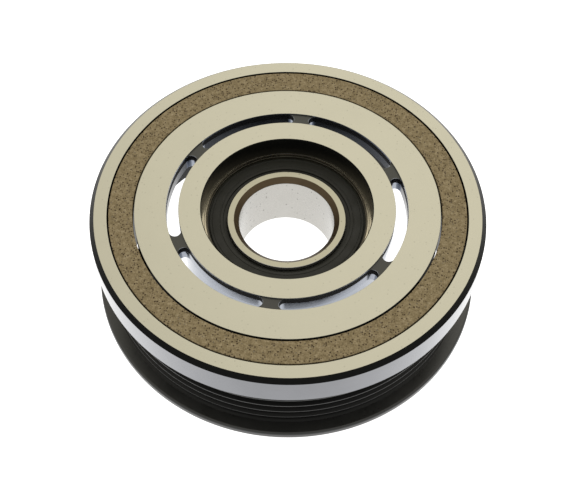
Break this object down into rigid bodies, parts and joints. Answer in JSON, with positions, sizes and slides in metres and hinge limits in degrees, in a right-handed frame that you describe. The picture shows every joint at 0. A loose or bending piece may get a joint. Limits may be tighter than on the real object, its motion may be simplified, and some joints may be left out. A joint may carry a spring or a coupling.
{
  "type": "clutch rotor pulley",
  "caption": "Grooved belt pulley with a slotted flat pole face, an inset friction ring and a sealed two-row ball bearing, the driven half of an electromagnetic compressor clutch.",
  "frame": {"origin": "on the axis, in the plane of the rim's rear edge, which the part stands on", "axes": "+Z along the axis from the coil side towards the pole face that the armature plate meets; +X through the middle of one of the six slots"},
  "size_m": [0.1234, 0.1234, 0.0354],
  "materials": {
    "rotor_steel": "machined",
    "coated_steel": "satin",
    "friction": "rough",
    "bearing_steel": "ground",
    "ball_steel": "polished",
    "cage_plastic": "satin",
    "seal_rubber": "matte",
    "insert_steel": "rolled"
  },
  "bodies": {
    "inner_ring": {"bearing_inner_ring": "bearing_steel"},
    "pulley": {"rotor": "rotor_steel", "pulley_rim": "coated_steel", "friction_ring": "friction", "bearing_outer_ring": "bearing_steel", "seal_front": "seal_rubber", "seal_front_insert": "insert_steel", "seal_rear": "seal_rubber", "seal_rear_insert": "insert_steel"},
    "front_row": {"balls_front_row": "ball_steel", "cage_front": "cage_plastic"},
    "rear_row": {"balls_rear_row": "ball_steel", "cage_rear": "cage_plastic"}
  },
  "joints": [
    {"name": "pulley_spin", "type": "hinge", "parent": "inner_ring", "child": "pulley", "pos_m": [0, 0, 0.01775], "axis": [0, 0, 1], "continuous": true},
    {"name": "front_row_orbit", "type": "hinge", "parent": "inner_ring", "child": "front_row", "pos_m": [0, 0, 0.02215], "axis": [0, 0, 1], "continuous": true},
    {"name": "rear_row_orbit", "type": "hinge", "parent": "inner_ring", "child": "rear_row", "pos_m": [0, 0, 0.01335], "axis": [0, 0, 1], "continuous": true}
  ],
  "couplings": [
    {"joint": "front_row_orbit", "follows": "pulley_spin", "ratio": 0.577},
    {"joint": "rear_row_orbit", "follows": "pulley_spin", "ratio": 0.577}
  ]
}
